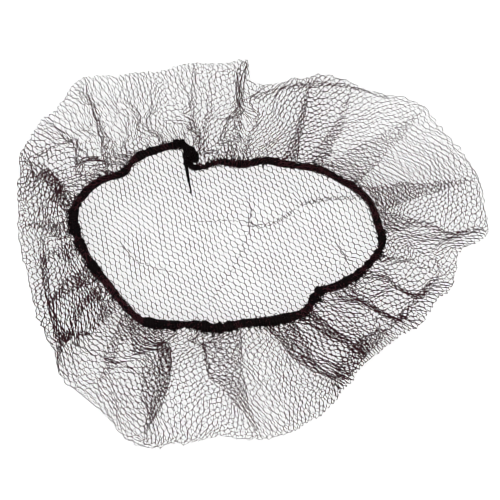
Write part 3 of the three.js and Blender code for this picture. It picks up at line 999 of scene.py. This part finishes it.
def strand_faces(count, ends, slots, bare):
    """Faces round every strand, and those that close the bare slots of the junctions."""
    start = slot_corners(JUNCTION_POINTS * ends[:, 0], slots)
    stop = slot_corners(JUNCTION_POINTS * ends[:, 1], slots)[:, [2, 1, 0, 3]]
    waist = np.arange(WAIST_POINTS * len(ends)).reshape(-1, WAIST_POINTS)
    waist += JUNCTION_POINTS * count
    faces = []
    for near, far in ((start, waist), (waist, stop)):
        for side in range(WAIST_POINTS):
            after = (side + 1) % WAIST_POINTS
            around = [near[:, side], near[:, after], far[:, after], far[:, side]]
            faces.append(np.stack(around, axis=1))
    junction, slot = np.nonzero(bare)
    faces.append(slot_corners(JUNCTION_POINTS * junction, slot))
    return np.concatenate(faces)


def strand_mesh(strands, chosen, widths, corner_reach):
    """Vertices and faces of the chosen strands: four-sided tubes that share their junctions."""
    used, ends = np.unique(strands.ends[chosen], return_inverse=True)
    ends = ends.reshape(-1, 2)
    slots = strands.slots[chosen]
    width = widths[chosen]
    place = strands.places[used]
    up = strands.up[used]
    across, breadth, bare = junction_sides(place, up, ends, slots, width)
    offset = across * breadth[..., None]
    corners = place[:, None] + corner_reach * (offset - np.roll(offset, -1, axis=1)) / 2
    depth = (breadth.max(axis=1) * JUNCTION_SWELL)[:, None] * up
    poles = np.stack([place + depth, place - depth], axis=1)
    junctions = np.concatenate([poles, corners], axis=1)
    waists = strand_waists(place, up, ends, width)
    vertices = np.concatenate([junctions.reshape(-1, 3), waists.reshape(-1, 3)])
    return vertices, [strand_faces(len(used), ends, slots, bare)]


# Meshes


def add_piece(name, vertices, faces, material, replaced):
    """Makes one piece from millimetres and arrays of faces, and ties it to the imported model."""
    mesh = bpy.data.meshes.new(name)
    corners = np.concatenate([group.ravel() for group in faces])
    counts = np.concatenate([np.full(len(group), group.shape[1]) for group in faces])
    mesh.vertices.add(len(vertices))
    mesh.vertices.foreach_set("co", (vertices * MM).ravel())
    mesh.loops.add(len(corners))
    mesh.loops.foreach_set("vertex_index", corners)
    mesh.polygons.add(len(counts))
    mesh.polygons.foreach_set("loop_start", np.cumsum(counts) - counts)
    mesh.update(calc_edges=True)
    mesh.validate()
    mesh.shade_smooth()
    mesh.materials.append(material)
    piece = bpy.data.objects.new(name, mesh)
    bpy.context.scene.collection.objects.link(piece)
    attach(piece, "root")
    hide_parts(replaced)


def tube(path, radii, ups, sides):
    """Vertices, four-sided faces and triangles of a round tube along a path, with closed ends."""
    count = len(path)
    along = unit(np.gradient(path, axis=0))
    across = unit(np.cross(along, np.broadcast_to(ups, path.shape)))
    rise = np.cross(across, along)
    angles = FULL_TURN * np.arange(sides)[:, None] / sides
    radii = np.broadcast_to(radii, (count, sides))
    spokes = np.cos(angles) * across[:, None] + np.sin(angles) * rise[:, None]
    rings = path[:, None] + radii[..., None] * spokes
    first_tip = path[0] - TIP_REACH * radii[0, 0] * along[0]
    last_tip = path[-1] + TIP_REACH * radii[-1, 0] * along[-1]
    vertices = np.concatenate([rings.reshape(-1, 3), [first_tip, last_tip]])
    ring = np.arange(count * sides).reshape(count, sides)
    after = np.roll(ring, -1, axis=1)
    quads = np.stack([ring[:-1], ring[1:], after[1:], after[:-1]], axis=-1).reshape(-1, 4)
    tip = np.full(sides, count * sides)
    first_cap = np.stack([ring[0], after[0], tip], axis=1)
    last_cap = np.stack([after[-1], ring[-1], tip + 1], axis=1)
    return vertices, quads, np.concatenate([first_cap, last_cap])


def joined_meshes(parts):
    """Vertices and faces of several tubes as one mesh."""
    vertices, *kinds = zip(*parts)
    starts = np.cumsum([0, *map(len, vertices)])
    faces = [
        np.concatenate([group + start for group, start in zip(kind, starts)]) for kind in kinds
    ]
    return np.concatenate(vertices), faces


def smooth_path(places, count):
    """Points on a smooth curve through places."""
    places = np.asarray(places, dtype=float)
    before = 2 * places[:1] - places[1:2]
    beyond = 2 * places[-1:] - places[-2:-1]
    padded = np.concatenate([before, places, beyond])
    shares = np.linspace(0, len(places) - 1, count)
    low = np.minimum(shares.astype(int), len(places) - 2)
    t = (shares - low)[:, None]
    p0, p1, p2, p3 = (padded[low + step] for step in range(4))
    return 0.5 * (
        2 * p1 + (p2 - p0) * t + (2 * p0 - 5 * p1 + 4 * p2 - p3) * t**2
        + (3 * p1 - p0 - 3 * p2 + p3) * t**3
    )


# Finishes


class Value:
    """A number on a surface, for sums of shader nodes."""

    def __init__(self, finish, socket):
        self.finish = finish
        self.socket = socket

    def maths(self, operation, first, second):
        return self.finish.node("ShaderNodeMath", {"operation": operation}, {0: first, 1: second})

    def __add__(self, other):
        return self.maths("ADD", self, other)

    def __radd__(self, other):
        return self.maths("ADD", other, self)

    def __mul__(self, other):
        return self.maths("MULTIPLY", self, other)

    def __rmul__(self, other):
        return self.maths("MULTIPLY", other, self)


class Finish:
    """A material and the nodes that make it."""

    def __init__(self, name):
        self.material = bpy.data.materials.new(name)
        self.material.use_nodes = True
        self.tree = self.material.node_tree
        self.shader = self.tree.nodes["Principled BSDF"]

    def node(self, kind, settings, inputs, output=0):
        """Adds a node with its settings, values and links, and gives one of its outputs."""
        node = self.tree.nodes.new(kind)
        for name, value in settings.items():
            setattr(node, name, value)
        for name, value in inputs.items():
            self.feed(node.inputs[name], value)
        return Value(self, node.outputs[output])

    def feed(self, socket, value):
        if isinstance(value, Value):
            self.tree.links.new(value.socket, socket)
        else:
            socket.default_value = value

    def places(self):
        """Places on the piece, in metres."""
        return self.node("ShaderNodeTexCoord", {}, {}, "Object")

    def noise(self, scale, detail=2.0):
        inputs = {"Vector": self.places(), "Scale": scale, "Detail": detail}
        return self.node("ShaderNodeTexNoise", {}, inputs)

    def mix(self, share, first, second):
        """A colour between two colours."""
        inputs = {"Factor": share, MIX_FIRST: (*first, 1.0), MIX_SECOND: (*second, 1.0)}
        return self.node("ShaderNodeMix", {"data_type": "RGBA"}, inputs, MIX_RESULT)

    def bump(self, height, distance, strength):
        inputs = {"Height": height, "Distance": distance, "Strength": strength}
        return self.node("ShaderNodeBump", {}, inputs)

    def set(self, **sockets):
        for name, value in sockets.items():
            self.feed(self.shader.inputs[name.replace("_", " ")], value)


def thread_finish(name, colour, warm, roughness, twist):
    """Dull dark synthetic thread with a fine twist, a little redder in places."""
    finish = Finish(name)
    patches = finish.noise(PATCHES)
    fleck = finish.noise(FLECKS, 1.0)
    cloud = patches * PATCH_SHARE + fleck * FLECK_SHARE
    inputs = {"Value": cloud, "From Min": WARM_FROM, "From Max": WARM_TO}
    share = finish.node("ShaderNodeMapRange", {}, inputs)
    finish.set(
        Base_Color=finish.mix(share, colour, warm),
        Roughness=roughness + FLECK_ROUGHNESS * fleck,
        Specular_IOR_Level=THREAD_SHINE,
        Normal=finish.bump(finish.noise(twist), TWIST_DEPTH, TWIST_STRENGTH),
    )
    return finish.material


def table_finish(colour, glow):
    """Smooth pale table top, lit from below as well as from above."""
    finish = Finish("table_top")
    lighter = [min(1.0, channel * TABLE_LIGHTER) for channel in colour]
    finish.set(
        Base_Color=finish.mix(finish.noise(TABLE_CLOUD), colour, lighter),
        Roughness=TABLE_ROUGHNESS,
        Emission_Color=(1.0, 1.0, 1.0, 1.0),
        Emission_Strength=glow,
    )
    return finish.material


# Settings


class HairnetNetSettings(bpy.types.PropertyGroup):
    cell_width: bpy.props.FloatProperty(
        name="Cell width",
        description="Distance between two upright strands",
        default=0.00239,
        unit="LENGTH",
        precision=5,
    )
    cell_row: bpy.props.FloatProperty(
        name="Cell row",
        description="Distance between two rows of cells",
        default=0.002925,
        unit="LENGTH",
        precision=5,
    )
    upright_share: bpy.props.FloatProperty(
        name="Upright share",
        description="Part of a row that its upright strands take",
        default=0.5,
        subtype="FACTOR",
        min=0.1,
        max=0.9,
    )
    upright_bearing: bpy.props.FloatProperty(
        name="Upright bearing",
        description="Direction of the upright strands on the crown, seen from above",
        default=math.radians(129.4),
        subtype="ANGLE",
    )
    upright_thickness: bpy.props.FloatProperty(
        name="Upright thickness",
        description="Thickness of the knitted upright strands",
        default=0.00044,
        unit="LENGTH",
        precision=5,
    )
    slant_thickness: bpy.props.FloatProperty(
        name="Slant thickness",
        description="Thickness of the single threads between the upright strands",
        default=0.00019,
        unit="LENGTH",
        precision=5,
    )
    colour: bpy.props.FloatVectorProperty(
        name="Thread colour",
        description="Colour of the net's thread",
        default=(0.022, 0.006, 0.0085),
        subtype="COLOR",
        size=3,
        min=0,
        max=1,
    )
    warm_colour: bpy.props.FloatVectorProperty(
        name="Warm colour",
        description="Colour of the redder places in the thread",
        default=(0.05, 0.013, 0.018),
        subtype="COLOR",
        size=3,
        min=0,
        max=1,
    )


class HairnetElasticSettings(bpy.types.PropertyGroup):
    core_thickness: bpy.props.FloatProperty(
        name="Band thickness",
        description="Thickness of the covered elastic without loose threads",
        default=0.003,
        unit="LENGTH",
        precision=4,
    )
    thread_thickness: bpy.props.FloatProperty(
        name="Thread thickness",
        description="Thickness of the threads wound round the elastic",
        default=0.0004,
        unit="LENGTH",
        precision=5,
    )
    loops: bpy.props.IntProperty(
        name="Loops",
        description="Number of small loose loops that stand out of the band",
        default=800,
        min=0,
    )
    fringe: bpy.props.IntProperty(
        name="Fringe",
        description="Number of bunched net cells that stand out round the band",
        default=520,
        min=0,
    )
    colour: bpy.props.FloatVectorProperty(
        name="Elastic colour",
        description="Colour of the band, the knot and the free end",
        default=(0.002, 0.0015, 0.0015),
        subtype="COLOR",
        size=3,
        min=0,
        max=1,
    )
    warm_colour: bpy.props.FloatVectorProperty(
        name="Warm colour",
        description="Colour of the redder threads round the band",
        default=(0.007, 0.0035, 0.004),
        subtype="COLOR",
        size=3,
        min=0,
        max=1,
    )


class HairnetStageSettings(bpy.types.PropertyGroup):
    table_width: bpy.props.FloatProperty(
        name="Table width",
        description="Width of the table top",
        default=6.0,
        unit="LENGTH",
    )
    table_colour: bpy.props.FloatVectorProperty(
        name="Table colour",
        description="Colour of the table top",
        default=(0.34, 0.34, 0.34),
        subtype="COLOR",
        size=3,
        min=0,
        max=1,
    )
    table_glow: bpy.props.FloatProperty(
        name="Table glow",
        description="Light that comes through the table top from below",
        default=0.74,
        min=0,
    )
    sky: bpy.props.FloatProperty(
        name="Sky",
        description="Strength of the even light from all round",
        default=1.0,
        min=0,
    )
    lamp: bpy.props.FloatProperty(
        name="Lamp",
        description="Power of the soft lamp above, in watts",
        default=1.5,
        min=0,
    )
    camera_height: bpy.props.FloatProperty(
        name="Camera height",
        description="Height of the camera above the table",
        default=2.0,
        unit="LENGTH",
    )
    view_width: bpy.props.FloatProperty(
        name="View width",
        description="Width of the table that the camera takes in",
        default=0.25,
        unit="LENGTH",
    )


# Pieces


class HAIRNET_OT_stage(bpy.types.Operator):
    """Sets up the table top, the soft light and the camera above"""

    bl_idname = "hairnet.stage"
    bl_label = "Stage"

    def execute(self, context):
        sizes = context.scene.hairnet_stage
        half = sizes.table_width / 2
        mesh = bpy.data.meshes.new("table_top")
        corners = [(-half, -half, 0), (half, -half, 0), (half, half, 0), (-half, half, 0)]
        mesh.from_pydata(corners, [], [(0, 1, 2, 3)])
        mesh.materials.append(table_finish(sizes.table_colour, sizes.table_glow))
        table = bpy.data.objects.new("table_top", mesh)
        context.scene.collection.objects.link(table)
        self.add_light(context, sizes)
        self.add_camera(context, sizes)
        return {"FINISHED"}

    @staticmethod
    def add_light(context, sizes):
        world = bpy.data.worlds.new("soft_light")
        world.use_nodes = True
        sky = world.node_tree.nodes["Background"]
        sky.inputs["Color"].default_value = (1, 1, 1, 1)
        sky.inputs["Strength"].default_value = sizes.sky
        context.scene.world = world
        context.scene.view_settings.view_transform = "Standard"
        context.scene.cycles.filter_width = PIXEL_FILTER
        for row in LAMPS:
            lamp = bpy.data.lights.new(row.name, "AREA")
            lamp.energy = sizes.lamp
            lamp.size = LAMP_SIZE
            light = bpy.data.objects.new(row.name, lamp)
            light.location = row.place
            light.rotation_euler = (-Vector(row.place)).to_track_quat("-Z", "Y").to_euler()
            context.scene.collection.objects.link(light)

    @staticmethod
    def add_camera(context, sizes):
        view = bpy.data.cameras.new("camera")
        view.sensor_width = SENSOR_WIDTH
        view.lens = view.sensor_width * sizes.camera_height / sizes.view_width
        camera = bpy.data.objects.new("camera", view)
        camera.location = (*CAMERA_PLACE, sizes.camera_height)
        context.scene.collection.objects.link(camera)
        context.scene.camera = camera


class HAIRNET_OT_net(bpy.types.Operator):
    """Knits the bag of fine net"""

    bl_idname = "hairnet.net"
    bl_label = "Net"

    def execute(self, context):
        sizes = context.scene.hairnet_net
        strands = Strands(sizes)
        strands.bend()
        start = strands.ends[:, 0]
        on_crown = strands.on_crown[start]
        left = strands.flat[start, 0] < 0
        widths = self.thread_widths(sizes, strands, on_crown)
        material = thread_finish(
            "net_thread", sizes.colour, sizes.warm_colour, NET_ROUGHNESS, NET_TWIST
        )
        layers = {"crown": (on_crown, CORNER_REACH), "gathered": (~on_crown, TOP_CORNER_REACH)}
        for layer, (chosen, reach) in layers.items():
            for side, half in {"left": left, "right": ~left}.items():
                vertices, faces = strand_mesh(strands, chosen & half, widths, reach)
                add_piece(f"net_{layer}_{side}", vertices, faces, material, "crown_net")
        return {"FINISHED"}

    @staticmethod
    def thread_widths(sizes, strands, on_crown):
        """Thickness of every strand, in millimetres."""
        chance = np.random.default_rng(THREAD_SEED)
        upright = strands.slots == 0
        widths = np.where(upright, sizes.upright_thickness, sizes.slant_thickness) / MM
        widths *= np.where(on_crown, 1, np.where(upright, TOP_UPRIGHT, TOP_SLANT))
        uneven = np.where(on_crown, UNEVEN, TOP_UNEVEN)
        widths *= np.exp(uneven * chance.normal(0, 1, len(widths)))
        return widths * strands.thread_shares()


def elastic_material(sizes):
    name = "elastic_cover"
    return bpy.data.materials.get(name) or thread_finish(
        name, sizes.colour, sizes.warm_colour, ELASTIC_ROUGHNESS, ELASTIC_TWIST
    )


def add_elastic(name, parts, sizes, replaced):
    """Joins the parts of one piece of the elastic and adds it."""
    vertices, faces = joined_meshes(parts)
    add_piece(name, vertices, faces, elastic_material(sizes), replaced)


def band_places(bearing):
    reach = band_reach(bearing)
    x = CENTRE[0] + reach * np.cos(bearing)
    y = CENTRE[1] + reach * np.sin(bearing)
    return np.stack([x, y, band_height(bearing)], axis=-1)


def path_lengths(path):
    """Length of a path up to each of its points."""
    steps = np.linalg.norm(np.diff(path, axis=0), axis=1)
    return np.concatenate([[0], np.cumsum(steps)])


def at_lengths(marks, lengths, vectors):
    """Vectors at the points of a path, read at other lengths along it."""
    return np.stack([np.interp(marks, lengths, column) for column in vectors.T], axis=1)


def even_steps(path, count):
    """The same path in steps of even length."""
    lengths = path_lengths(path)
    return at_lengths(np.linspace(0, lengths[-1], count), lengths, path)


def read_along(lengths, values):
    """Values at even distances on a path, read at all of its lengths."""
    return np.interp(lengths, np.linspace(0, lengths[-1], len(values)), values)


def ridged_radii(radius, lengths, sides, seed):
    """Radii of a cord whose cover is bunched into slanting ridges."""
    chance = np.random.default_rng(seed)
    angles = FULL_TURN * np.arange(sides) / sides
    turns = FULL_TURN * lengths[:, None]
    drift = read_along(lengths, chance.normal(0, DRIFT, DRIFTS))
    ridges = np.sin(turns / RIDGE_LENGTH + RIDGE_TURNS * angles + drift[:, None])
    cross = np.sin(turns / CROSS_LENGTH - CROSS_TURNS * angles)
    lump_count = int(lengths[-1] / LUMP_LENGTH) + 2
    lumps = read_along(lengths, chance.normal(0, LUMP_SIZE, lump_count))
    grit = chance.normal(0, GRIT_SIZE, (len(lengths), sides))
    return radius * (1 + RIDGE_SIZE * ridges + CROSS_SIZE * cross + lumps[:, None] + grit)


def frame_along(path):
    """Directions along a path, level across it and up from it."""
    along = unit(np.gradient(path, axis=0))
    across = unit(np.cross(along, [0, 0, 1]))
    return along, across, np.cross(across, along)


def winding(path, radius, turns, thread):
    """A thread wound round a cord."""
    chance = np.random.default_rng(turns.seed)
    lengths = path_lengths(path)
    marks = np.linspace(0, lengths[-1], int(lengths[-1] / WINDING_STEP))
    _, across, rise = frame_along(path)
    middle, across, rise = (at_lengths(marks, lengths, part) for part in (path, across, rise))
    wander = read_along(marks, chance.normal(0, WINDING_SWAY, WINDING_SWAYS))
    stray = read_along(marks, np.abs(chance.normal(0, WINDING_STRAY, WINDING_STRAYS)))
    angle = FULL_TURN * marks / turns.pitch + turns.phase + wander
    spoke = np.cos(angle)[:, None] * across + np.sin(angle)[:, None] * rise
    reach = radius + WINDING_CLEARANCE + stray
    return tube(middle + reach[:, None] * spoke, thread / 2, spoke, WINDING_SIDES)


def small_loops(path, radius, loops, count, thread, seed):
    """Loose loops of thread that stand out of a cord's cover."""
    chance = np.random.default_rng(seed)
    along, across, rise = frame_along(path)
    bunches = chance.uniform(0, len(path), max(2, int(len(path) / loops.bunch)))
    parts = []
    for _ in range(count):
        bunch = chance.choice(bunches)
        here = int(bunch + chance.normal(0, loops.bunch / BUNCH_TIGHTNESS)) % len(path)
        angle = chance.uniform(-loops.spread, loops.spread)
        lean = chance.normal(0, loops.lean)
        width = chance.uniform(loops.least_width, loops.most_width)
        height = min(LEAST_LOOP + chance.exponential(loops.height), loops.most_height)
        spoke = math.cos(angle) * across[here] + math.sin(angle) * rise[here]
        side = np.cross(spoke, along[here])
        run = math.cos(lean) * along[here] + math.sin(lean) * side
        foot = path[here] + spoke * (radius[here] - LOOP_FOOT)
        out = np.outer(np.sin(LOOP_STEPS) * height, spoke)
        arc = foot + np.outer(np.cos(LOOP_STEPS) * width, run) + out
        arc += chance.normal(0, LOOP_CRUMPLE, arc.shape)
        parts.append(tube(arc, thread * loops.share / 2, np.cross(run, spoke), LOOP_SIDES))
    return parts


def cord_parts(cord, thread):
    """A cord with its bunched cover, along a line whose thickness changes."""
    line = smooth_path(cord.line, cord.steps)
    path, radius = line[:, :3], line[:, 3]
    radii = ridged_radii(1.0, path_lengths(path), CORD_SIDES, cord.seed) * radius[:, None]
    fuzz = small_loops(path, radius, CORD_FUZZ, cord.loops, thread, cord.seed + CORD_FUZZ_SEED)
    return [tube(path, radii, CORD_UP, CORD_SIDES), *fuzz]


class HAIRNET_OT_band(bpy.types.Operator):
    """Makes the covered elastic band round the opening"""

    bl_idname = "hairnet.band"
    bl_label = "Band"

    def execute(self, context):
        sizes = context.scene.hairnet_elastic
        radius = sizes.core_thickness / MM / 2
        thread = sizes.thread_thickness / MM
        ring = band_places(np.linspace(BAND_START, BAND_END, RING_SAMPLES))
        thin_end = smooth_path(BAND_THIN_END, END_SAMPLES)
        path = even_steps(np.concatenate([ring, thin_end]), BAND_STEPS)
        lengths = path_lengths(path)
        offset = path - [*CENTRE, 0]
        swell = ring_value(SWELLS, np.arctan2(offset[:, 1], offset[:, 0]))
        thinning = smoothstep((lengths - lengths[-1] + THIN_LENGTH) / THIN_FADE)
        swell = swell * (1 - THIN_SHARE * thinning)
        radii = ridged_radii(radius, lengths, BAND_SIDES, BAND_SEED) * swell[:, None]
        skin = radius * swell
        parts = [tube(path, radii, (0, 0, 1), BAND_SIDES)]
        parts += [winding(path, radius, turns, thread) for turns in WINDINGS]
        parts += small_loops(path, skin, FUZZ, sizes.loops, thread, BAND_FUZZ_SEED)
        parts += small_loops(path, skin, FRINGE, sizes.fringe, thread, FRINGE_SEED)
        add_elastic("band_cover", parts, sizes, "elastic_band")
        return {"FINISHED"}


class HAIRNET_OT_knot(bpy.types.Operator):
    """Ties the knot between the two ends of the elastic"""

    bl_idname = "hairnet.knot"
    bl_label = "Knot"

    def execute(self, context):
        sizes = context.scene.hairnet_elastic
        thread = sizes.thread_thickness / MM
        parts = [part for cord in KNOT_PARTS for part in cord_parts(cord, thread)]
        add_elastic("band_knot", parts, sizes, "elastic_knot")
        return {"FINISHED"}


class HAIRNET_OT_tail(bpy.types.Operator):
    """Makes the short free end of the elastic"""

    bl_idname = "hairnet.tail"
    bl_label = "Free end"

    def execute(self, context):
        sizes = context.scene.hairnet_elastic
        parts = cord_parts(TAIL, sizes.thread_thickness / MM * TAIL_THREAD)
        add_elastic("band_tail", parts, sizes, "elastic_tail")
        return {"FINISHED"}


class HAIRNET_PT_sidebar(bpy.types.Panel):
    """Settings and pieces of the hairnet"""

    bl_idname = "HAIRNET_PT_sidebar"
    bl_label = "Hairnet"
    bl_space_type = "VIEW_3D"
    bl_region_type = "UI"
    bl_category = "Hairnet"

    def draw(self, context):
        scene = context.scene
        for group in (scene.hairnet_net, scene.hairnet_elastic, scene.hairnet_stage):
            box = self.layout.box()
            for name in group.__annotations__:
                box.prop(group, name)
        for operator in OPERATORS:
            self.layout.operator(operator.bl_idname)


OPERATORS = (
    HAIRNET_OT_stage,
    HAIRNET_OT_net,
    HAIRNET_OT_band,
    HAIRNET_OT_knot,
    HAIRNET_OT_tail,
)
SETTINGS = {
    "hairnet_net": HairnetNetSettings,
    "hairnet_elastic": HairnetElasticSettings,
    "hairnet_stage": HairnetStageSettings,
}


def register():
    for name, group in SETTINGS.items():
        bpy.utils.register_class(group)
        setattr(bpy.types.Scene, name, bpy.props.PointerProperty(type=group))
    for operator in OPERATORS:
        bpy.utils.register_class(operator)
    bpy.utils.register_class(HAIRNET_PT_sidebar)


def unregister():
    bpy.utils.unregister_class(HAIRNET_PT_sidebar)
    for operator in reversed(OPERATORS):
        bpy.utils.unregister_class(operator)
    for name, group in SETTINGS.items():
        delattr(bpy.types.Scene, name)
        bpy.utils.unregister_class(group)


def main():
    register()
    bpy.ops.hairnet.stage()
    bpy.ops.hairnet.net()
    bpy.ops.hairnet.band()
    bpy.ops.hairnet.knot()
    bpy.ops.hairnet.tail()


if __name__ == "__main__":
    main()
